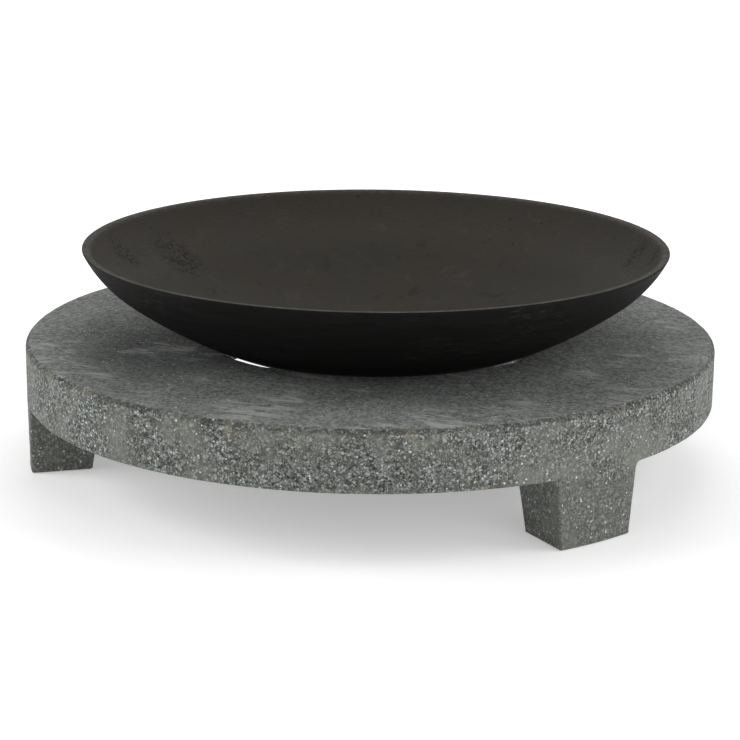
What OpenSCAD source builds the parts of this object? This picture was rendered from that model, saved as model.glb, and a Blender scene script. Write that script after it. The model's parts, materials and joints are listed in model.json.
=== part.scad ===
// Fire bowl resting in a cast terrazzo ring on three short legs.
// Millimetres, +Z up. The origin is on the ground, under the middle of the ring.
// The front is towards -Y, between the two front legs.

/* [Terrazzo ring] */
// Outside diameter of the round slab
slab_d = 600; // [500:10:800]
// Thickness of the slab
slab_t = 52; // [45:1:70]
// Diameter of the round hole that holds the bowl
hole_d = 296; // [250:2:310]
// How much wider the hole is at the slab's underside, on each side
hole_flare = 10; // [0:1:12]
// How far the hole's centre lies to the right of the slab's centre
hole_shift = 4.5; // [0:0.5:8]
// Rounding of the slab's upper outer edge
top_round = 5; // [2:0.5:10]
// Rounding of the hole's upper edge
edge_round = 3; // [1:0.5:5]

/* [Legs] */
// Height of the legs under the slab
leg_h = 58.5; // [40:0.5:100]
// Depth of a leg at its top, measured towards the slab's centre
leg_depth = 63; // [52:1:80]
// Width of a leg at its top, across the outer face
leg_w = 85; // [76:1:120]
// Lean of a leg's two side faces, which lets the casting leave its mould
leg_draft = 5.5; // [1:0.5:8]
// Lean of a leg's inner face
inner_draft = 9; // [1:0.5:10]
// Bevel of the outer and inner lower edges of a leg
foot_bevel = 2.5; // [1:0.5:5]
// Angle from the front of the ring to each front leg
leg_turn = 60; // [50:1:70]

/* [Bowl] */
// Outside diameter of the bowl at its rim
bowl_d = 508; // [480:1:560]
// Thickness of the bowl's cast wall
bowl_wall = 6; // [3:0.5:8]
// Outside radius of the bowl's shallow middle
cap_r = 376; // [350:2:384]
// Slope of the bowl where the shallow middle ends, degrees
cap_slope = 36.5; // [34:0.5:38]
// Slope of the bowl at its rim, degrees
rim_slope = 64; // [58:0.5:68]

/* [Reinforcement] */
// Diameter of the steel hoops and of the bars in the legs
bar_d = 6; // [4:0.5:8]
// Diameter of the short steel bars that tie the hoops together
tie_d = 5; // [3:0.5:6]
// Number of tie bars
tie_count = 6; // [3:1:12]
// Cement left between the steel and the slab's outer face and hole
bar_cover = 24; // [18:1:30]

/* [Hidden] */
$fn = 96;

iron = [0.13, 0.12, 0.11];
terrazzo = [0.42, 0.44, 0.43];
steel = [0.45, 0.40, 0.36];

slab_r = slab_d / 2;
hole_r = hole_d / 2;
slab_top = leg_h + slab_t;

// Gap between the bowl and the rounded edge that it rests on
seat_gap = 0.3;
// Each leg's turn from the front, counted towards the right
turn_right = leg_turn;
turn_left = -leg_turn;
turn_rear = 180;
// A leg's outer face is flush with the slab's side and leans in only slightly
leg_in_r = slab_r - leg_depth;
outer_draft = 1;
// Size of the blocks that cut away what is outside a leg
cut = slab_d;

// Centre of the arc of the bowl's shallow middle, from where the bowl touches
// the hole's rounded edge
seat_r = hole_r + edge_round;
cap_z = slab_top - edge_round + sqrt(pow(cap_r + edge_round + seat_gap, 2) - pow(seat_r, 2));
// Arc of the bowl's steeper side, tangent to the shallow middle, and how many
// straight steps each arc is turned from
cap_steps = 24;
side_steps = 16;
cap_end_r = cap_r * sin(cap_slope);
side_r = (bowl_d / 2 - cap_end_r) / (sin(rim_slope) - sin(cap_slope));
side_x = cap_end_r - side_r * sin(cap_slope);
side_z = cap_z - (cap_r - side_r) * cos(cap_slope);
// Slope of the bowl's inner face where the flat rim cuts it
inner_slope = acos(side_r * cos(rim_slope) / (side_r - bowl_wall));

// Heights of the steel inside the slab: leg bars under the hoops, ties over them
bar_gap = 0.3;
hoop_z = leg_h + slab_t * 0.42;
leg_bar_z = hoop_z - bar_d - bar_gap;
tie_z = hoop_z + (bar_d + tie_d) / 2 + bar_gap;
outer_hoop_r = slab_r - bar_cover - bar_d / 2;
inner_hoop_r = hole_r + hole_shift + bar_cover;
// A tie runs this far past both hoops
tie_over = 8;
// Bars in a leg: how far apart, how they bend, and how far from the ground they end
leg_bar_r = slab_r - leg_depth / 2;
leg_bar_apart = leg_w * 0.42;
bend_r = 12;
foot_cover = 14;

// Turns its children from the front of the ring, towards the right
module turned(angle) {
  rotate([0, 0, angle]) children();
}

// The material that a fillet takes off a corner at the origin
module corner_waste(radius) {
  difference() {
    translate([-1, -1]) square(radius + 1);
    translate([radius, radius]) circle(r = radius);
  }
}

// Points along an arc, between two slopes measured from straight down
function arc_points(x, z, radius, from, to, steps) = [
  for (i = [0 : steps])
    let (slope = from + (to - from) * i / steps)
    [x + radius * sin(slope), z - radius * cos(slope)]
];

// Cast dish with a flat rim: a shallow middle and a steeper side that runs on
module fire_bowl() {
  outer_from = cap_slope + (rim_slope - cap_slope) / side_steps;
  inner_from = cap_slope + (inner_slope - cap_slope) / side_steps;
  color(iron)
    translate([hole_shift, 0, 0])
      rotate_extrude()
        polygon(concat(
          arc_points(0, cap_z, cap_r, 0, cap_slope, cap_steps),
          arc_points(side_x, side_z, side_r, outer_from, rim_slope, side_steps - 1),
          arc_points(side_x, side_z, side_r - bowl_wall, inner_slope, inner_from, side_steps - 1),
          arc_points(0, cap_z, cap_r - bowl_wall, cap_slope, 0, cap_steps)
        ));
}

// Full disc of the slab, with its upper outer edge rounded
module slab_disc() {
  rotate_extrude()
    difference() {
      translate([0, leg_h]) square([slab_r, slab_t]);
      translate([slab_r, slab_top]) rotate(180) corner_waste(top_round);
    }
}

// Round hole that widens downwards, with a rounded upper edge
module hole_waste() {
  slope = hole_flare / (slab_t - edge_round);
  translate([hole_shift, 0, 0])
    rotate_extrude()
      union() {
        polygon([
          [0, leg_h - 1],
          [hole_r + hole_flare + slope, leg_h - 1],
          [hole_r, slab_top - edge_round],
          [hole_r, slab_top + 1],
          [0, slab_top + 1]
        ]);
        translate([hole_r, slab_top]) rotate(-90) corner_waste(edge_round);
      }
}

module ring_slab() {
  color(terrazzo)
    difference() {
      slab_disc();
      hole_waste();
      hoop(outer_hoop_r);
      hoop(inner_hoop_r);
      all_ties();
      leg_bar_pair(turn_right);
      leg_bar_pair(turn_left);
      leg_bar_pair(turn_rear);
    }
}

// Section of a leg through the slab's axis, bevelled at its two lower corners
module leg_section() {
  inner_foot_r = leg_in_r + leg_h * tan(inner_draft);
  outer_foot_r = slab_r - leg_h * tan(outer_draft);
  polygon([
    [leg_in_r, leg_h],
    [inner_foot_r, foot_bevel],
    [inner_foot_r + foot_bevel, 0],
    [outer_foot_r - foot_bevel, 0],
    [outer_foot_r, foot_bevel],
    [slab_r, leg_h]
  ]);
}

// Waste on one side of a leg, past a radial plane that leans in at the foot
module side_waste(side) {
  translate([0, 0, leg_h])
    rotate([0, side * leg_draft, 0])
      translate([side > 0 ? 0 : -cut, -cut, -cut / 2]) cube([cut, cut, cut]);
}

// Leg before it is turned into place: it stands towards -Y
module leg_block() {
  half_turn = asin(leg_w / 2 / slab_r);
  rough_turn = half_turn + 4;
  difference() {
    rotate([0, 0, -90 - rough_turn])
      rotate_extrude(angle = 2 * rough_turn) leg_section();
    for (side = [-1, 1])
      rotate([0, 0, side * half_turn]) side_waste(side);
  }
}

module leg(angle) {
  color(terrazzo)
    difference() {
      turned(angle) leg_block();
      leg_bar_pair(angle);
    }
}

module leg_front_right() {
  leg(turn_right);
}

module leg_front_left() {
  leg(turn_left);
}

module leg_rear() {
  leg(turn_rear);
}

module hoop(radius) {
  rotate_extrude()
    translate([radius, hoop_z]) circle(d = bar_d);
}

module outer_hoop() {
  color(steel) hoop(outer_hoop_r);
}

module inner_hoop() {
  color(steel) hoop(inner_hoop_r);
}

// One straight bar that lies over both hoops, towards -Y
module tie_bar() {
  length = outer_hoop_r - inner_hoop_r + 2 * tie_over;
  translate([0, -inner_hoop_r + tie_over, tie_z])
    rotate([90, 0, 0]) cylinder(h = length, d = tie_d);
}

module all_ties() {
  for (i = [0 : tie_count - 1])
    turned((i + 0.5) * 360 / tie_count) tie_bar();
}

module cross_ties() {
  color(steel) all_ties();
}

// Bar that stands in a leg, bends in the slab and runs inwards under the hoops
module leg_bar() {
  run = leg_bar_r - bend_r - inner_hoop_r + tie_over;
  translate([0, -leg_bar_r, foot_cover])
    cylinder(h = leg_bar_z - bend_r - foot_cover, d = bar_d);
  translate([0, bend_r - leg_bar_r, leg_bar_z - bend_r])
    rotate([90, 0, -90])
      rotate_extrude(angle = 90) translate([bend_r, 0]) circle(d = bar_d);
  translate([0, tie_over - inner_hoop_r, leg_bar_z])
    rotate([90, 0, 0]) cylinder(h = run, d = bar_d);
}

module leg_bar_pair(angle) {
  turned(angle)
    for (side = [-1, 1])
      translate([side * leg_bar_apart / 2, 0, 0]) leg_bar();
}

module leg_bars_front_right() {
  color(steel) leg_bar_pair(turn_right);
}

module leg_bars_front_left() {
  color(steel) leg_bar_pair(turn_left);
}

module leg_bars_rear() {
  color(steel) leg_bar_pair(turn_rear);
}

fire_bowl();
ring_slab();
leg_front_right();
leg_front_left();
leg_rear();
outer_hoop();
inner_hoop();
cross_ties();
leg_bars_front_right();
leg_bars_front_left();
leg_bars_rear();
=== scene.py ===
import json
import math

import bmesh
import bpy
import numpy as np
from mathutils import Matrix, Vector, noise


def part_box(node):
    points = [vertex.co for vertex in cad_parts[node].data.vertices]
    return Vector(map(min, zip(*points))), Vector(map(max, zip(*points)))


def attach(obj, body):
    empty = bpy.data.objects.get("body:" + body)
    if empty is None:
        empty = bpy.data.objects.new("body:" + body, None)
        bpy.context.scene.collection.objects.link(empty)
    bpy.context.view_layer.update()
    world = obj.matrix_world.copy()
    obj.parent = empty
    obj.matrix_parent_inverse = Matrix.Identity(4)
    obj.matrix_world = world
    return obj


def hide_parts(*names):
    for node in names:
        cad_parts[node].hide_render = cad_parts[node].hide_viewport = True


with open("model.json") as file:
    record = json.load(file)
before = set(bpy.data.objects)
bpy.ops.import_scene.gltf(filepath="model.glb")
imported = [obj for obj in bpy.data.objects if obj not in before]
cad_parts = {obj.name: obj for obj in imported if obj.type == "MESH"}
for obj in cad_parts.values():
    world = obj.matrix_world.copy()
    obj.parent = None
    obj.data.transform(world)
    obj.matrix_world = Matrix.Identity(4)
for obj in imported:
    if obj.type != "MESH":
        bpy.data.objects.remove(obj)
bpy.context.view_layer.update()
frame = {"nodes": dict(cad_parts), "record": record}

# Fire bowl on a terrazzo ring: one seamless casting and one iron dish stand for the
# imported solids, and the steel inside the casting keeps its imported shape. Metres, +Z up.

MM = 0.001

# Ring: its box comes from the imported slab, and the rest is the same as in part.scad
SLAB_LOW, SLAB_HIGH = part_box("ring_slab")
SLAB_R = SLAB_HIGH.x
SLAB_TOP, SLAB_BOTTOM = SLAB_HIGH.z, SLAB_LOW.z
HOLE_R = 148 * MM
HOLE_FLARE = 10 * MM
HOLE_ROUND = 3 * MM
TOP_ROUND = 5 * MM
# Rounding of the hole's lower edge, which is sharp in part.scad
LOW_ROUND = 2 * MM

# Legs, as in part.scad: turns from the front, depth and half width at the top, and leans
LEG_TURNS = [math.radians(a) for a in (60, -60, 180)]
LEG_DEPTH = 63 * MM
LEG_HALF_WIDTH = 42.5 * MM
LEG_HALF_TURN = math.asin(LEG_HALF_WIDTH / SLAB_R)
LEG_SIDE_DRAFT = math.tan(math.radians(5.5))
LEG_INNER_DRAFT = math.tan(math.radians(9))
LEG_OUTER_DRAFT = math.tan(math.radians(1))
LEG_IN_R = SLAB_R - LEG_DEPTH
# Roundings: of the outer face's edges and the slab's lower outer edge, of the upright
# corners on the inner side, of the foot, and of the corner between leg and underside
LEG_ROUND = 2 * MM
LEG_INNER_ROUND = 2.5 * MM
FOOT_ROUND = 1.6 * MM
LEG_FILLET = 4 * MM

# Bowl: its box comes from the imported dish, and the rest is the same as in part.scad
BOWL_LOW, BOWL_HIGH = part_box("fire_bowl")
BOWL_X = (BOWL_LOW.x + BOWL_HIGH.x) / 2
BOWL_R = (BOWL_HIGH.x - BOWL_LOW.x) / 2
BOWL_TOP = BOWL_HIGH.z
BOWL_WALL = 6 * MM
CAP_R = 376 * MM
CAP_SLOPE = math.radians(36.5)
RIM_SLOPE = math.radians(64)

# Camera, looking at a point on the ring's axis; metres, and the lens in millimetres
VIEW_AZIMUTH = math.radians(22.8)
VIEW_HEIGHT = math.radians(15.25)
VIEW_ROLL = math.radians(0.53)
VIEW_DISTANCE = 1.983
VIEW_TARGET = Vector((0, 0, 0.075))
VIEW_LENS = 109.3
SENSOR_WIDTH = 36
VIEW_FAR = 100

# Light from all round, and lamps: name, azimuth from the camera's own and height in
# degrees, then distance and size in metres and power in watts
WORLD_STRENGTH = 0.28
LIGHTS = [
    ("left", -85, 28, 3.2, 2.2, 55),
    ("right", 80, 32, 3.2, 2.2, 36),
    ("front", 35, 20, 3.2, 1.8, 22),
    ("back", 175, 45, 3.2, 2.4, 32),
    ("top", 0, 88, 3.2, 2.4, 7),
]
# Floor: how far under the feet, its radius in metres, and the light it gives of its own,
# which grows between two distances in metres
FLOOR_DROP = 0.2 * MM
FLOOR_R = 30
GLOW_FROM, GLOW_TO = 0.45, 2.4
GLOW_NEAR, GLOW_FAR = 0.36, 0.80


# ---------------------------------------------------------------- numbers and noise

def smooth(x, low, high):
    """0 below low, 1 above high and a smooth step between."""
    t = np.clip((x - low) / (high - low), 0, 1)
    return t * t * (3 - 2 * t)


# How far apart differently seeded noise is read
SEED_STEP = (7.31, 3.17, 5.73)


def noise_at(points, pitch, seed):
    """Smooth noise, about -1 to 1, whose bumps are about a pitch apart."""
    shift = Vector([seed * step for step in SEED_STEP])
    return np.array([noise.noise(Vector(p) / pitch + shift) for p in points])


def graded(length, near, far, pitch):
    """Distances along a face: close together at each end, then about a pitch apart."""
    steps = max(1, round((length - near[-1] - far[-1]) / pitch))
    middle = np.linspace(near[-1], length - far[-1], steps + 1)
    return np.concatenate([near[:-1], middle, length - np.array(far[:-1])[::-1]])


# ---------------------------------------------------------------- terrazzo casting

# How far from an edge the mesh has its first points, and from the slab's upper outer edge
EDGE = np.array([0, 0.8, 1.7, 2.7, 4, 6]) * MM
TOP_EDGE = np.array([0, 1.5, 3.2, 5.2, 7.5, 10.5]) * MM
# How far apart points are elsewhere: round the ring; over its top, down its side, and on
# its underside and in the hole; then in and down along a leg
COLUMN_PITCH = 3.6 * MM
TOP_PITCH, SIDE_PITCH, LOW_PITCH = 4 * MM, 3 * MM, 5 * MM
LEG_IN_PITCH, LEG_DOWN_PITCH = 4 * MM, 3.5 * MM
# Points this close together are welded
WELD = 0.02 * MM
# How often the points are pulled onto the rounded shape, and the least squared slope that
# the pull is divided by
PULLS = 4
LEAST_SLOPE_SQUARED = 0.1
# Points that the pull moves by these distances lie on an edge: barely, and fully
EDGE_FROM, EDGE_TO = 0.15 * MM, 0.9 * MM

# Where the hole is a little out of round, so that light shows past the bowl: between
# which angles from the front, in degrees, and how far the edge lies back
HOLE_GAPS = [(-33, -13, 3.0 * MM), (69, 77, 4.0 * MM), (56, 68, 1.6 * MM)]
# Degrees that such a recess takes to fade: outside its two angles, and inside them
FADE_OUT, FADE_IN = 4, 3

# Wear of the casting: its mean depth, or its greatest depth for chips, and how far apart
# its bumps are
SWELL_DEPTH, SWELL_PITCH = 0.25 * MM, 70 * MM
GRIT_DEPTH, GRIT_PITCH = 0.10 * MM, 9 * MM
CHIP_DEPTH, CHIP_PITCH = 1.2 * MM, 8 * MM
WORN_DEPTH, WORN_PITCH = 0.4 * MM, 26 * MM
# Heights above the ground, and distances from the bowl's seat, between which wear sets in
GROUND_FROM, GROUND_TO = 0.5 * MM, 4 * MM
SEAT_FROM, SEAT_TO = 5 * MM, 12 * MM


def rounded_max(a, b, radius):
    """Two distance fields cut by each other, with the edge rounded."""
    u, v = np.maximum(a + radius, 0), np.maximum(b + radius, 0)
    return np.minimum(np.maximum(a, b), -radius) + np.hypot(u, v)


def hole_edge(angle):
    """Radius of the hole's upper edge at an angle from the front."""
    turn = np.degrees(angle)
    radius = np.full_like(turn, HOLE_R)
    for start, end, depth in HOLE_GAPS:
        begins = smooth(turn, start - FADE_OUT, start + FADE_IN)
        radius += depth * begins * smooth(-turn, -end - FADE_OUT, -end + FADE_IN)
    return radius


def hole_field(x, y, z):
    """Distance into the hole's opening, which widens downwards."""
    slope = HOLE_FLARE / (SLAB_TOP - SLAB_BOTTOM - HOLE_ROUND)
    off = x - BOWL_X
    wall = hole_edge(np.arctan2(off, -y)) + slope * np.maximum(SLAB_TOP - HOLE_ROUND - z, 0)
    return (wall - np.hypot(off, y)) * math.cos(math.atan(slope))


def leg_field(x, y, z, turn):
    """Distance outside a leg, without its outer face."""
    drop = SLAB_BOTTOM - z
    along = x * math.sin(turn) - y * math.cos(turn)
    across = x * math.cos(turn) + y * math.sin(turn)
    field = LEG_IN_R + drop * LEG_INNER_DRAFT - np.hypot(x, y)
    field *= math.cos(math.atan(LEG_INNER_DRAFT))
    c, s = math.cos(LEG_HALF_TURN), math.sin(LEG_HALF_TURN)
    for side in (-1, 1):
        past = side * across * c - along * s + drop * LEG_SIDE_DRAFT
        past *= math.cos(math.atan(LEG_SIDE_DRAFT))
        field = rounded_max(field, past, LEG_INNER_ROUND)
    field = rounded_max(field, -z, FOOT_ROUND)
    return np.maximum(field, z - (SLAB_BOTTOM + SLAB_TOP) / 2)


def casting_field(points):
    """Distance outside the ring and its legs, with rounded edges and soft corners."""
    x, y, z = points.T
    body = rounded_max(hole_field(x, y, z), z - SLAB_TOP, HOLE_ROUND)
    body = rounded_max(body, SLAB_BOTTOM - z, LOW_ROUND)
    for turn in LEG_TURNS:
        body = -rounded_max(-body, -leg_field(x, y, z, turn), LEG_FILLET)
    outer = np.hypot(x, y) - SLAB_R + np.maximum(SLAB_BOTTOM - z, 0) * LEG_OUTER_DRAFT
    radius = np.where(z > (SLAB_BOTTOM + SLAB_TOP) / 2, TOP_ROUND, LEG_ROUND)
    return rounded_max(outer, body, radius)


def slope_of(field, points, step=0.05 * MM):
    """Gradient of a distance field."""
    return np.stack([
        (field(points + d) - field(points - d)) / (2 * step) for d in np.eye(3) * step
    ], axis=1)


class Patches:
    """Grids of points that are welded into one mesh where they meet."""

    def __init__(self):
        self.points, self.faces, self.count = [], [], 0

    def add(self, grid, wrap=False, skip=None):
        """Adds a grid of rows and columns; skip says which of its faces are left out."""
        rows, cols = grid.shape[:2]
        index = np.arange(rows * cols).reshape(rows, cols) + self.count
        for i in range(rows if wrap else rows - 1):
            for j in range(cols if wrap else cols - 1):
                if skip is not None and skip[i, j]:
                    continue
                k, m = (i + 1) % rows, (j + 1) % cols
                self.faces.append((index[i, j], index[i, m], index[k, m], index[k, j]))
        self.points.append(grid.reshape(-1, 3))
        self.count += rows * cols

    def mesh(self, name):
        made = bpy.data.meshes.new(name)
        made.from_pydata(np.concatenate(self.points).tolist(), [], self.faces)
        bm = bmesh.new()
        bm.from_mesh(made)
        bmesh.ops.remove_doubles(bm, verts=bm.verts, dist=WELD)
        bmesh.ops.recalc_face_normals(bm, faces=bm.faces)
        bm.to_mesh(made)
        bm.free()
        made.shade_smooth()
        return made


def ring_grid(angles, rows):
    """Points of the ring, one row for each (distance in from the rim, height)."""
    grid = []
    for inward, z in rows:
        spread = np.clip((SLAB_TOP - HOLE_ROUND - z) / (SLAB_TOP - SLAB_BOTTOM - HOLE_ROUND), 0, 1)
        hole = hole_edge(np.arctan2(np.sin(angles), np.cos(angles))) + HOLE_FLARE * spread
        width = SLAB_R - HOLE_R - HOLE_FLARE * spread
        t = max(0, (inward - LEG_DEPTH) / (width - LEG_DEPTH))
        radius = SLAB_R - min(inward, LEG_DEPTH)
        x = (1 - t) * radius * np.sin(angles) + t * (BOWL_X + hole * np.sin(angles))
        y = -(1 - t) * radius * np.cos(angles) - t * hole * np.cos(angles)
        grid.append(np.stack([x, y, np.full_like(x, z)], axis=1))
    return np.array(grid)


def leg_points(turn, across, inward, drop):
    """Points of a leg: across is -1 to 1, inward and drop are distances."""
    outer = SLAB_R - drop * LEG_OUTER_DRAFT
    inner = LEG_IN_R + drop * LEG_INNER_DRAFT
    radius = outer + (inner - outer) * inward / LEG_DEPTH
    angle = turn + across * LEG_HALF_TURN
    shift = across * drop * LEG_SIDE_DRAFT
    x = radius * np.sin(angle) - shift * np.cos(angle)
    y = -radius * np.cos(angle) - shift * np.sin(angle)
    return np.stack([x, y, SLAB_BOTTOM - drop + 0 * x], axis=-1)


def casting_mesh():
    """The ring and its legs as one seamless mesh, pulled onto the rounded shape."""
    leg_width = 2 * LEG_HALF_TURN * SLAB_R
    across = 2 * graded(leg_width, EDGE, EDGE, COLUMN_PITCH) / leg_width - 1
    inward = graded(LEG_DEPTH, EDGE, EDGE, LEG_IN_PITCH)
    drop = graded(SLAB_BOTTOM, EDGE, EDGE, LEG_DOWN_PITCH)
    thick = SLAB_TOP - SLAB_BOTTOM

    # Columns: each leg's own, then those of the plain ring up to the next leg
    angles, on_leg = [], []
    turns = sorted(LEG_TURNS)
    for turn, after in zip(turns, turns[1:] + [turns[0] + 2 * math.pi]):
        angles += list(turn + across * LEG_HALF_TURN)
        on_leg += [True] * (len(across) - 1) + [False]
        start = turn + LEG_HALF_TURN
        length = (after - turn - 2 * LEG_HALF_TURN) * SLAB_R
        plain = start + graded(length, EDGE, EDGE, COLUMN_PITCH)[1:-1] / SLAB_R
        angles += list(plain)
        on_leg += [False] * len(plain)

    # Rows: out over the top, down the side, in along the underside and up the hole
    top_width, low_width = SLAB_R - HOLE_R, SLAB_R - HOLE_R - HOLE_FLARE
    rows = [(top_width - d, SLAB_TOP) for d in graded(top_width, EDGE, TOP_EDGE, TOP_PITCH)]
    rows += [(0, SLAB_TOP - d) for d in graded(thick, TOP_EDGE, EDGE, SIDE_PITCH)[1:]]
    leg_row = len(rows) - 1
    rows += [(d, SLAB_BOTTOM) for d in inward[1:]]
    rest = graded(low_width - LEG_DEPTH, EDGE, EDGE, LOW_PITCH)[1:]
    rows += [(LEG_DEPTH + d, SLAB_BOTTOM) for d in rest]
    for d in graded(thick, EDGE, EDGE, LOW_PITCH)[1:-1]:
        z = SLAB_BOTTOM + d
        spread = min(1, (SLAB_TOP - HOLE_ROUND - z) / (thick - HOLE_ROUND))
        rows.append((top_width - HOLE_FLARE * max(0, spread), z))

    under_leg = np.zeros((len(rows), len(angles)), bool)
    under_leg[leg_row:leg_row + len(inward) - 1] = on_leg
    patches = Patches()
    patches.add(ring_grid(np.array(angles), rows), wrap=True, skip=under_leg)

    # Each leg's outer and inner face, its two sides and its foot
    for turn in LEG_TURNS:
        for side in (0, LEG_DEPTH):
            patches.add(leg_points(turn, across[:, None], side, drop[None, :]))
        for side in (-1, 1):
            patches.add(leg_points(turn, side, inward[:, None], drop[None, :]))
        patches.add(leg_points(turn, across[:, None], inward[None, :], SLAB_BOTTOM))
    mesh = patches.mesh("terrazzo_ring")

    points = np.array([v.co for v in mesh.vertices])
    edge = smooth(casting_field(points), EDGE_FROM, EDGE_TO)
    for _ in range(PULLS):
        normal = slope_of(casting_field, points)
        size = np.maximum((normal ** 2).sum(1), LEAST_SLOPE_SQUARED)
        points -= normal * (casting_field(points) / size)[:, None]
    normal = slope_of(casting_field, points)
    normal /= np.linalg.norm(normal, axis=1)[:, None]
    points -= normal * casting_wear(points, edge)[:, None]
    mesh.vertices.foreach_set("co", points.ravel())
    mesh.update()
    return mesh


def casting_wear(points, edge):
    """How far the real surface lies inside the ideal one: swell, grit, chips and wear."""
    swell = SWELL_DEPTH * (1 + noise_at(points, SWELL_PITCH, 1))
    grit = GRIT_DEPTH * (1 + noise_at(points, GRIT_PITCH, 2))
    chips = edge * CHIP_DEPTH * smooth(noise_at(points, CHIP_PITCH, 3), 0.2, 0.6)
    worn = edge * WORN_DEPTH * (1 + noise_at(points, WORN_PITCH, 4))
    off_ground = smooth(points[:, 2], GROUND_FROM, GROUND_TO)
    from_hole = np.hypot(points[:, 0] - BOWL_X, points[:, 1]) - HOLE_R
    from_seat = np.hypot(from_hole, points[:, 2] - SLAB_TOP)
    return (swell + grit + chips + worn) * off_ground * smooth(from_seat, SEAT_FROM, SEAT_TO)


# ---------------------------------------------------------------- iron dish

# Steps round the dish, and along its shallow middle, its side and the lip's outer rounding
BOWL_COLUMNS = 384
CAP_STEPS, SIDE_STEPS, LIP_STEPS = 34, 15, 5
LIP_OUT_ROUND = 0.6 * MM
LIP_IN_ROUND = 4 * MM
# Unevenness near the rim: how far in and how far down it goes on average, how far apart
# its bumps are, and the radii between which it sets in
BEND_DEPTH, BEND_PITCH = 0.15 * MM, 190 * MM
SAG_DEPTH, SAG_PITCH = 0.12 * MM, 40 * MM
UNEVEN_FROM, UNEVEN_TO = 175 * MM, 250 * MM


def arc(x, z, radius, start, end, steps):
    """Points along an arc, between two slopes measured from straight down."""
    slopes = np.linspace(start, end, steps + 1)
    return np.stack([x + radius * np.sin(slopes), z - radius * np.cos(slopes)], axis=1)


def bowl_profile():
    """The dish's section from its axis out along the underside, over the lip and back."""
    cap_end = CAP_R * math.sin(CAP_SLOPE)
    side_r = (BOWL_R - cap_end) / (math.sin(RIM_SLOPE) - math.sin(CAP_SLOPE))
    cap_z = BOWL_LOW.z + CAP_R
    side_x = cap_end - side_r * math.sin(CAP_SLOPE)
    side_z = cap_z - (CAP_R - side_r) * math.cos(CAP_SLOPE)
    inner_r = side_r - BOWL_WALL

    def touching(radius, gap):
        """Centre of a rounding under the flat lip, and its slope where it meets the side."""
        drop = side_z - BOWL_TOP + radius
        run = math.sqrt(gap ** 2 - drop ** 2)
        return side_x + run, BOWL_TOP - radius, math.atan2(run, drop)

    out_x, out_z, out_slope = touching(LIP_OUT_ROUND, side_r - LIP_OUT_ROUND)
    in_x, in_z, in_slope = touching(LIP_IN_ROUND, inner_r + LIP_IN_ROUND)
    shoulder = arc(in_x, in_z, LIP_IN_ROUND, math.pi, math.pi + in_slope, 2 * LIP_STEPS)
    flat = [((out_x + in_x) / 2, BOWL_TOP)]
    return np.concatenate([
        arc(0, cap_z, CAP_R, 0, CAP_SLOPE, CAP_STEPS)[1:],
        arc(side_x, side_z, side_r, CAP_SLOPE, out_slope, SIDE_STEPS)[1:],
        arc(out_x, out_z, LIP_OUT_ROUND, out_slope, math.pi, LIP_STEPS)[1:],
        flat,
        shoulder,
        arc(side_x, side_z, inner_r, in_slope, CAP_SLOPE, SIDE_STEPS)[1:],
        arc(0, cap_z, CAP_R - BOWL_WALL, CAP_SLOPE, 0, CAP_STEPS)[1:-1],
    ])


def bowl_mesh():
    """The dish, turned from its section and then made slightly uneven."""
    profile = bowl_profile()
    outside_rows = CAP_STEPS + SIDE_STEPS + LIP_STEPS
    angles = np.arange(BOWL_COLUMNS) * 2 * math.pi / BOWL_COLUMNS
    bm = bmesh.new()
    rings = []
    for r, z in profile:
        places = [(BOWL_X + r * math.sin(a), -r * math.cos(a), z) for a in angles]
        rings.append([bm.verts.new(place) for place in places])
    low = bm.verts.new((BOWL_X, 0, BOWL_LOW.z))
    high = bm.verts.new((BOWL_X, 0, BOWL_LOW.z + BOWL_WALL))
    n = BOWL_COLUMNS
    for k, (one, two) in enumerate(zip(rings, rings[1:])):
        for i in range(n):
            face = bm.faces.new((one[i], one[(i + 1) % n], two[(i + 1) % n], two[i]))
            face.material_index = 0 if k + 1 < outside_rows else 1
    for i in range(n):
        bm.faces.new((low, rings[0][(i + 1) % n], rings[0][i])).material_index = 0
        bm.faces.new((high, rings[-1][i], rings[-1][(i + 1) % n])).material_index = 1
    bmesh.ops.recalc_face_normals(bm, faces=bm.faces)
    mesh = bpy.data.meshes.new("iron_bowl")
    bm.to_mesh(mesh)
    bm.free()
    mesh.shade_smooth()
    points = np.array([v.co for v in mesh.vertices])
    off = points - np.array([BOWL_X, 0, 0])
    radius = np.hypot(off[:, 0], off[:, 1])
    near_rim = smooth(radius, UNEVEN_FROM, UNEVEN_TO)
    bent = BEND_DEPTH * (1 + noise_at(points * [1, 1, 0], BEND_PITCH, 5)) * near_rim
    sag = SAG_DEPTH * (1 + noise_at(points * [1, 1, 0], SAG_PITCH, 6)) * near_rim
    points[:, :2] -= off[:, :2] / np.maximum(radius, MM)[:, None] * bent[:, None]
    points[:, 2] -= sag
    mesh.vertices.foreach_set("co", points.ravel())
    mesh.update()
    return mesh


# ---------------------------------------------------------------- materials

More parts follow.
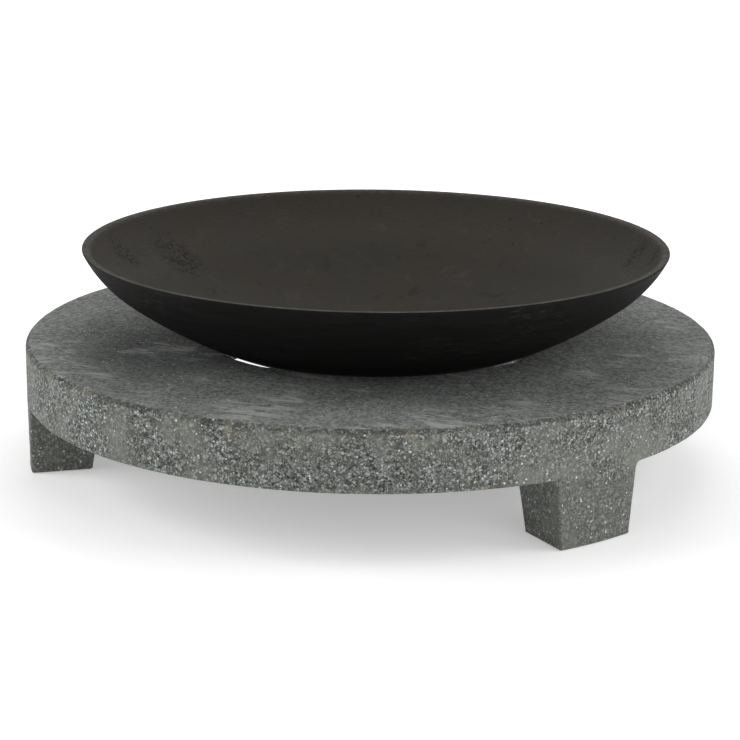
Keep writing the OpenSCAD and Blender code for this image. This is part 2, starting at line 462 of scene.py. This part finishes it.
class Graph:
    """A material's nodes, each added and joined up in one call."""

    def __init__(self, name):
        self.material = bpy.data.materials.new(name)
        self.material.use_nodes = True
        self.tree = self.material.node_tree
        self.tree.nodes.clear()

    def node(self, kind, inputs=None, **settings):
        """Adds a node; each input is either joined to a socket or set to a value."""
        made = self.tree.nodes.new("ShaderNode" + kind)
        for key, value in settings.items():
            setattr(made, key, value)
        for key, value in (inputs or {}).items():
            if isinstance(value, bpy.types.NodeSocket):
                self.tree.links.new(value, made.inputs[key])
            else:
                made.inputs[key].default_value = value
        return made

    def place(self):
        return self.node("TexCoord").outputs["Object"]

    def upward(self, vector):
        return self.node("SeparateXYZ", {0: vector}).outputs[2]

    def distance(self, place, spot):
        inputs = {0: place, 1: spot}
        return self.node("VectorMath", inputs, operation="DISTANCE").outputs["Value"]

    def math(self, operation, a, b=0.0):
        return self.node("Math", {0: a, 1: b}, operation=operation).outputs[0]

    def span(self, value, low, high, to_low=0.0, to_high=1.0):
        """Smooth step of a value between low and high."""
        inputs = {"Value": value, "From Min": low, "From Max": high,
                  "To Min": to_low, "To Max": to_high}
        return self.node("MapRange", inputs, interpolation_type="SMOOTHSTEP").outputs[0]

    def mix(self, share, a, b):
        """Colour that goes from a to b as the share goes from 0 to 1."""
        return self.node("Mix", {0: share, 6: a, 7: b}, data_type="RGBA").outputs[2]

    def noise(self, place, pitch, detail, rough=0.55, warp=0.0):
        """Noise, 0 to 1, whose bumps are about a pitch apart."""
        inputs = {"Vector": place, "Scale": 1 / pitch, "Detail": detail,
                  "Roughness": rough, "Distortion": warp}
        return self.node("TexNoise", inputs).outputs["Fac"]

    def cells(self, place, pitch, feature="F1"):
        inputs = {"Vector": place, "Scale": 1 / pitch}
        return self.node("TexVoronoi", inputs, feature=feature)

    def stretch(self, place, x, y, z):
        inputs = {"Vector": place, "Scale": (x, y, z)}
        return self.node("Mapping", inputs, vector_type="POINT").outputs[0]

    def jitter(self, place, pitch, amount):
        """Moves a place about by up to an amount, so that cell edges aren't straight."""
        inputs = {"Vector": place, "Scale": 1 / pitch, "Detail": 2.0}
        colour = self.node("TexNoise", inputs).outputs["Color"]
        inputs = {0: colour, 1: (-0.5, -0.5, -0.5)}
        centred = self.node("VectorMath", inputs, operation="ADD").outputs[0]
        inputs = {0: centred, "Scale": amount}
        scaled = self.node("VectorMath", inputs, operation="SCALE").outputs[0]
        return self.node("VectorMath", {0: place, 1: scaled}, operation="ADD").outputs[0]

    def near(self, place, spot, reach):
        """1 close to a spot, and 0 further from it than its reach."""
        return self.span(self.distance(place, spot), reach, 0.35 * reach)

    def bump(self, height, depth, strength, normal=None):
        inputs = {"Height": height, "Distance": depth, "Strength": strength}
        if normal is not None:
            inputs["Normal"] = normal
        return self.node("Bump", inputs).outputs[0]

    def finish(self, **sockets):
        """Principled surface; socket names are given with _ for a space."""
        inputs = {key.replace("_", " "): value for key, value in sockets.items()}
        shader = self.node("BsdfPrincipled", inputs)
        self.node("OutputMaterial", {"Surface": shader.outputs[0]})
        return self.material


def colour(r, g, b):
    """Linear colour with alpha, from the display's 0 to 255."""
    def line(v):
        v /= 255
        return v / 12.92 if v <= 0.04045 else ((v + 0.055) / 1.055) ** 2.4
    return (line(r), line(g), line(b), 1.0)


# Cement, the film over it, the flat top and the grit on that
CEMENT_DARK, CEMENT_PALE = colour(68, 69, 63), colour(97, 98, 90)
FILM_DARK, FILM_PALE = colour(103, 105, 99), colour(132, 134, 127)
TOP_DARK, TOP_PALE = colour(84, 87, 86), colour(129, 132, 128)
GRIT_DARK, GRIT_PALE = colour(46, 48, 47), colour(172, 175, 171)
# Marks on the casting, and painted shade: on the legs under the slab and on the top beside the
# bowl
LEG_PAINTED_SHADE, PAINTED_SHADE_TONE = colour(70, 71, 66), colour(46, 48, 47)
PIT_TONE, CHIP_TONE = colour(48, 49, 45), colour(214, 217, 216)
EDGE_TONE, STAIN_TONE = colour(56, 56, 50), colour(143, 137, 118)
SCUFF_TONE = colour(166, 169, 165)
# The dish's outside, with its dusty flecks and rust
OUTSIDE_DARK, OUTSIDE_PALE = colour(7, 7, 6), colour(18, 18, 17)
FLECK_TONE, RUST_TONE = colour(50, 50, 47), colour(34, 25, 20)
# The dish's inside: its rubs, painted light on its steep wall, its pits and scratches, and its
# lip, painted lighter partly as bare metal and partly as painted light
INSIDE_DARK, INSIDE_PALE = colour(40, 37, 32), colour(49, 45, 39)
RUB_DARK, RUB_PALE = colour(27, 25, 22), colour(62, 58, 52)
WALL_PAINTED_LIGHT, MARK_TONE, BARE_AND_PAINTED_LIGHT_TONE = colour(66, 62, 56), colour(15, 13, 12), colour(84, 81, 76)
# Steel bars and their rust, and the floor
STEEL_DARK, STEEL_PALE = colour(104, 100, 95), colour(140, 135, 128)
BLOOM_TONE = colour(112, 66, 40)
FLOOR_TONE = colour(235, 235, 235)

# Grains, the small ones first: pitch, share of the cells, and their darkest and palest tone
GRAINS = [
    (1.3 * MM, 0.48, colour(101, 105, 104), colour(163, 169, 168)),
    (2.3 * MM, 0.38, colour(104, 110, 110), colour(174, 181, 181)),
]
# Cells whose random number is above this are small pits
PIT_LIMIT = 0.84
# Pitch of the rare white chips, and their share of the cells on the side and on the top
CHIP_CELL = 1.5 * MM
CHIPS_SIDE, CHIPS_TOP = 0.018, 0.010
# Spot of painted shade on the ring's top beside the bowl, standing in for the bowl's shadow, and
# spots where the trowel left pale scuffs: x, y and reach
PAINTED_SHADE_SPOT = (-125 * MM, -140 * MM, 110 * MM)
SCUFF_SPOTS = [
    (155 * MM, -225 * MM, 45 * MM), (190 * MM, -200 * MM, 45 * MM),
    (215 * MM, -60 * MM, 20 * MM), (10 * MM, -260 * MM, 50 * MM),
]
# Pitted spots on the dish's wall: angle from the front in degrees, radius and reach
PIT_SPOTS = [
    (-80, 230 * MM, 18 * MM), (-98, 210 * MM, 30 * MM),
    (112, 243 * MM, 12 * MM), (123, 234 * MM, 14 * MM),
]


def terrazzo_material():
    """Washed grey stone grains in dark cement; smoother and dustier on the flat top."""
    g = Graph("terrazzo")
    place = g.place()
    height = g.upward(place)
    up = g.upward(g.node("TexCoord").outputs["Normal"])
    top = g.span(up, 0.72, 0.96)
    side = g.math("SUBTRACT", 1.0, top)
    on_leg = g.span(height, SLAB_BOTTOM + 4 * MM, SLAB_BOTTOM - 10 * MM)

    # Cement, and two sizes of grain
    cement = g.mix(g.noise(place, 12 * MM, 5), CEMENT_DARK, CEMENT_PALE)
    wander = g.jitter(place, 1.8 * MM, 0.9 * MM)
    stone, relief = cement, 0.0
    for pitch, share, dark, pale in GRAINS:
        cell = g.cells(wander, pitch)
        edge = g.cells(wander, pitch, "DISTANCE_TO_EDGE").outputs[0]
        pick = g.node("SeparateColor", {0: cell.outputs["Color"]})
        inside = g.span(edge, 0.03, 0.20)
        here = g.math("MULTIPLY", inside, g.math("LESS_THAN", pick.outputs[0], share))
        stone = g.mix(here, stone, g.mix(pick.outputs[1], dark, pale))
        pit = g.math("MULTIPLY", inside, g.math("GREATER_THAN", pick.outputs[0], PIT_LIMIT))
        stone = g.mix(pit, stone, PIT_TONE)
        relief = g.math("SUBTRACT", g.math("MAXIMUM", relief, here), pit)

    # Cement film: in patches on the side, more of it on the legs, most of it on the top
    film_side = g.span(g.noise(place, 42 * MM, 4, 0.6), 0.42, 0.68, 0.05, 0.72)
    film_side = g.math("MAXIMUM", film_side, g.math("MULTIPLY", on_leg, 0.38))
    film_top = g.span(g.noise(place, 9 * MM, 6, 0.7), 0.30, 0.62, 0.66, 0.92)
    film = g.node("Mix", {0: top, 2: film_side, 3: film_top}).outputs[0]
    film_tone = g.mix(g.noise(place, 7 * MM, 5, 0.6), FILM_DARK, FILM_PALE)
    cloud = g.span(g.noise(place, 60 * MM, 6, 0.65), 0.32, 0.68)
    top_tone = g.mix(cloud, TOP_DARK, TOP_PALE)
    grit = g.span(g.noise(place, 3.2 * MM, 5, 0.78), 0.37, 0.63)
    top_tone = g.mix(0.55, top_tone, g.mix(grit, GRIT_DARK, GRIT_PALE))
    stone = g.mix(film, stone, g.mix(top, film_tone, top_tone))
    # Legs under the slab darkened a little: painted shade, for the shadow the slab casts on them
    stone = g.mix(g.math("MULTIPLY", on_leg, 0.22), stone, LEG_PAINTED_SHADE)

    # Painted shade on the top at the front left, standing in for the bowl's shadow, and pale
    # trowel scuffs
    x, y, reach = PAINTED_SHADE_SPOT
    painted_shade = g.math("MULTIPLY", g.near(place, (x, y, SLAB_TOP), reach), top)
    stone = g.mix(g.math("MULTIPLY", painted_shade, 0.4), stone, PAINTED_SHADE_TONE)
    drawn = g.noise(g.stretch(place, 0.25, 1, 1), 11 * MM, 5, 0.62, 1.2)
    where = g.span(g.noise(place, 70 * MM, 2), 0.52, 0.64)
    for x, y, reach in SCUFF_SPOTS:
        where = g.math("MAXIMUM", where, g.near(place, (x, y, SLAB_TOP), reach))
    scuff = g.math("MULTIPLY", g.span(drawn, 0.47, 0.62, 0.0, 0.8), where)
    stone = g.mix(g.math("MULTIPLY", scuff, top), stone, SCUFF_TONE)

    # Rare white chips, fewer of them on the top
    chip = g.cells(place, CHIP_CELL)
    chip_edge = g.cells(place, CHIP_CELL, "DISTANCE_TO_EDGE").outputs[0]
    chip_pick = g.node("SeparateColor", {0: chip.outputs["Color"]}).outputs[0]
    limit = g.span(top, 0.0, 1.0, CHIPS_SIDE, CHIPS_TOP)
    chosen = g.math("LESS_THAN", chip_pick, limit)
    chip_on = g.math("MULTIPLY", g.span(chip_edge, 0.06, 0.2), chosen)
    stone = g.mix(chip_on, stone, CHIP_TONE)

    # Coarse dark line where the top turns into the side, and tan cement near both edges
    turn = g.math("MULTIPLY", g.span(up, 0.15, 0.45), g.span(up, 0.97, 0.80))
    ragged = g.span(g.noise(place, 3.5 * MM, 4, 0.6), 0.42, 0.58, 0.0, 0.75)
    stone = g.mix(g.math("MULTIPLY", turn, ragged), stone, EDGE_TONE)
    near_top = g.span(height, SLAB_TOP - 20 * MM, SLAB_TOP - 5 * MM, 0.0, 0.75)
    near_low = g.span(height, SLAB_BOTTOM + 5 * MM, SLAB_BOTTOM + 1 * MM)
    near_low = g.math("MULTIPLY", near_low, g.math("GREATER_THAN", height, SLAB_BOTTOM - 1 * MM))
    blot = g.span(g.noise(place, 30 * MM, 4, 0.6), 0.55, 0.70, 0.0, 0.6)
    near_edge = g.math("MULTIPLY", g.math("MAXIMUM", near_top, near_low), side)
    stone = g.mix(g.math("MULTIPLY", near_edge, blot), stone, STAIN_TONE)

    # Grains stand out where no film covers them
    relief = g.math("MULTIPLY", relief, g.math("SUBTRACT", 1.0, g.math("MULTIPLY", film, 0.85)))
    normal = g.bump(relief, 0.30 * MM, 0.8)
    normal = g.bump(g.noise(place, 4 * MM, 6, 0.68), 0.30 * MM, 0.6, normal)
    rough = g.span(relief, 0.0, 1.0, 0.86, 0.66)
    return g.finish(Base_Color=stone, Roughness=rough, Normal=normal, Specular_IOR_Level=0.35)


def iron_outside_material():
    """Blackened iron with faint level streaks and dusty flecks."""
    g = Graph("iron_outside")
    place = g.place()
    streak = g.noise(g.stretch(place, 1, 1, 9), 45 * MM, 6, 0.65)
    tone = g.mix(g.span(streak, 0.3, 0.75), OUTSIDE_DARK, OUTSIDE_PALE)
    drawn = g.noise(g.stretch(place, 1, 1, 5), 9 * MM, 6, 0.75, 0.6)
    dusty = g.span(g.noise(place, 60 * MM, 3), 0.48, 0.62)
    fleck = g.math("MULTIPLY", g.span(drawn, 0.52, 0.66, 0.0, 0.7), dusty)
    tone = g.mix(fleck, tone, FLECK_TONE)
    rust = g.span(g.noise(place, 26 * MM, 5, 0.65), 0.62, 0.80, 0.0, 0.3)
    tone = g.mix(rust, tone, RUST_TONE)
    normal = g.bump(g.noise(place, 4 * MM, 5, 0.6), 0.12 * MM, 0.7)
    normal = g.bump(streak, 0.5 * MM, 0.5, normal)
    rough = g.span(streak, 0.3, 0.7, 0.62, 0.78)
    return g.finish(Base_Color=tone, Roughness=rough, Normal=normal, Specular_IOR_Level=0.12)


def iron_inside_material():
    """Dry warm grey-black inside of the dish, with scuffs, pits, painted light on its wall, and a
    lip painted lighter, partly bare metal and partly painted light.
    """
    g = Graph("iron_inside")
    place = g.place()
    cloud = g.noise(place, 90 * MM, 5, 0.6)
    tone = g.mix(g.span(cloud, 0.3, 0.7), INSIDE_DARK, INSIDE_PALE)
    drawn = g.noise(g.stretch(place, 1, 1, 2), 24 * MM, 6, 0.72, 0.8)
    tone = g.mix(g.span(drawn, 0.54, 0.70, 0.0, 0.45), tone, RUB_PALE)
    tone = g.mix(g.span(drawn, 0.44, 0.32, 0.0, 0.55), tone, RUB_DARK)
    flat = g.node("VectorMath", {0: place, 1: (1, 1, 0)}, operation="MULTIPLY").outputs[0]
    # Steep wall near the rim painted lighter all round: painted light, for the light that the
    # steeper wall catches
    wall = g.span(g.distance(flat, (BOWL_X, 0, 0)), 185 * MM, 226 * MM)
    tone = g.mix(g.math("MULTIPLY", wall, 0.35), tone, WALL_PAINTED_LIGHT)

    # Pits and drawn scratches, close together at a few spots on the wall
    near = 0.0
    for turn, r, reach in PIT_SPOTS:
        a = math.radians(turn)
        spot = (BOWL_X + r * math.sin(a), -r * math.cos(a), 0)
        near = g.math("MAXIMUM", near, g.near(flat, spot, reach))
    pits = g.span(g.noise(place, 5 * MM, 6, 0.75), 0.535, 0.575)
    lines = g.noise(g.stretch(place, 0.45, 1.7, 1), 14 * MM, 3, 0.5, 0.9)
    lines = g.span(g.math("ABSOLUTE", g.math("SUBTRACT", lines, 0.5)), 0.016, 0.004)
    marks = g.math("MULTIPLY", g.math("MAXIMUM", pits, lines), near)
    rare = g.span(g.noise(place, 5 * MM, 5, 0.7), 0.64, 0.69, 0.0, 0.9)
    marks = g.math("MAXIMUM", marks, g.math("MULTIPLY", rare, g.math("MAXIMUM", wall, 0.35)))
    tone = g.mix(g.math("MULTIPLY", marks, 0.9), tone, MARK_TONE)

    # Rougher, and painted lighter towards the lip: partly bare metal, partly painted light
    grain = g.span(g.noise(g.stretch(place, 1, 1, 6), 7 * MM, 6, 0.72), 0.40, 0.62)
    bare_and_painted_light = g.span(g.upward(place), BOWL_TOP - 5 * MM, BOWL_TOP - 0.5 * MM, 0.0, 0.5)
    tone = g.mix(g.math("MULTIPLY", bare_and_painted_light, grain), tone, BARE_AND_PAINTED_LIGHT_TONE)
    normal = g.bump(g.noise(place, 3 * MM, 5, 0.6), 0.10 * MM, 0.7)
    normal = g.bump(g.math("MULTIPLY", grain, wall), 0.25 * MM, 0.6, normal)
    normal = g.bump(g.math("SUBTRACT", 1.0, marks), 0.5 * MM, 0.8, normal)
    rough = g.span(cloud, 0.3, 0.7, 0.72, 0.85)
    return g.finish(Base_Color=tone, Roughness=rough, Normal=normal, Specular_IOR_Level=0.25)


def bar_steel_material():
    """Mill-finish reinforcing steel with a light bloom of rust."""
    g = Graph("bar_steel")
    place = g.place()
    rust = g.span(g.noise(place, 8 * MM, 6, 0.65), 0.42, 0.66)
    tone = g.mix(g.noise(place, 3 * MM, 4), STEEL_DARK, STEEL_PALE)
    tone = g.mix(rust, tone, BLOOM_TONE)
    rough = g.span(rust, 0.0, 1.0, 0.42, 0.85)
    metal = g.span(rust, 0.0, 1.0, 0.9, 0.0)
    normal = g.bump(g.noise(place, 1.5 * MM, 5, 0.6), 0.1 * MM, 0.8)
    return g.finish(Base_Color=tone, Roughness=rough, Metallic=metal, Normal=normal)


def floor_material():
    """Pale floor that gives some light of its own, more of it further away."""
    g = Graph("floor")
    gap = g.distance(g.place(), (0, 0, 0))
    glow = g.span(gap, GLOW_FROM, GLOW_TO, GLOW_NEAR, GLOW_FAR)
    return g.finish(Base_Color=FLOOR_TONE, Roughness=0.9, Specular_IOR_Level=0.1,
                    Emission_Color=(1, 1, 1, 1), Emission_Strength=glow)


# ---------------------------------------------------------------- scene

def new_object(name, mesh, *materials):
    made = bpy.data.objects.new(name, mesh)
    for material in materials:
        mesh.materials.append(material)
    bpy.context.scene.collection.objects.link(made)
    return made


def add_floor():
    """A wide disc, just under the feet."""
    bm = bmesh.new()
    just_under = Matrix.Translation((0, 0, -FLOOR_DROP))
    bmesh.ops.create_circle(bm, cap_ends=True, segments=96, radius=FLOOR_R, matrix=just_under)
    mesh = bpy.data.meshes.new("floor")
    bm.to_mesh(mesh)
    bm.free()
    new_object("floor", mesh, floor_material())


def look(place, roll=0.0):
    """Matrix of a camera or lamp at a place that looks at the view's target."""
    turn = (VIEW_TARGET - place).to_track_quat("-Z", "Y").to_matrix().to_4x4()
    return Matrix.Translation(place) @ turn @ Matrix.Rotation(roll, 4, "Z")


def around(azimuth, height, distance):
    """Place seen from the target at an azimuth from the front, a height and a distance."""
    flat = math.cos(height)
    step = Vector((math.sin(azimuth) * flat, -math.cos(azimuth) * flat, math.sin(height)))
    return VIEW_TARGET + step * distance


def add_camera():
    data = bpy.data.cameras.new("camera")
    data.sensor_width = SENSOR_WIDTH
    data.lens = VIEW_LENS
    data.clip_end = VIEW_FAR
    camera = bpy.data.objects.new("camera", data)
    place = around(VIEW_AZIMUTH, VIEW_HEIGHT, VIEW_DISTANCE)
    camera.matrix_world = look(place, VIEW_ROLL)
    bpy.context.scene.collection.objects.link(camera)
    bpy.context.scene.camera = camera


def add_light(name, azimuth, height, distance, size, power):
    """Large soft lamp, placed by its angle from the camera's own azimuth."""
    data = bpy.data.lights.new(name, "AREA")
    data.shape = "DISK"
    data.size = size
    data.energy = power
    lamp = bpy.data.objects.new(name, data)
    place = around(VIEW_AZIMUTH + math.radians(azimuth), math.radians(height), distance)
    lamp.matrix_world = look(place)
    bpy.context.scene.collection.objects.link(lamp)


def add_world(strength):
    """Even white light from all round."""
    world = bpy.data.worlds.new("white")
    world.use_nodes = True
    back = world.node_tree.nodes["Background"]
    back.inputs["Color"].default_value = (1, 1, 1, 1)
    back.inputs["Strength"].default_value = strength
    bpy.context.scene.world = world


ring = new_object("terrazzo_ring", casting_mesh(), terrazzo_material())
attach(ring, "ring")
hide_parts("ring_slab", "leg_front_right", "leg_front_left", "leg_rear")

bowl = new_object("iron_bowl", bowl_mesh(), iron_outside_material(), iron_inside_material())
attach(bowl, "bowl")
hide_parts("fire_bowl")

steel = bar_steel_material()
for name in frame["record"]["physics"]["no_collision_nodes"]:
    node = frame["nodes"][name]
    node.data.materials.clear()
    node.data.materials.append(steel)

add_floor()
add_camera()
add_world(WORLD_STRENGTH)
for light in LIGHTS:
    add_light(*light)
bpy.context.scene.view_settings.view_transform = "Standard"
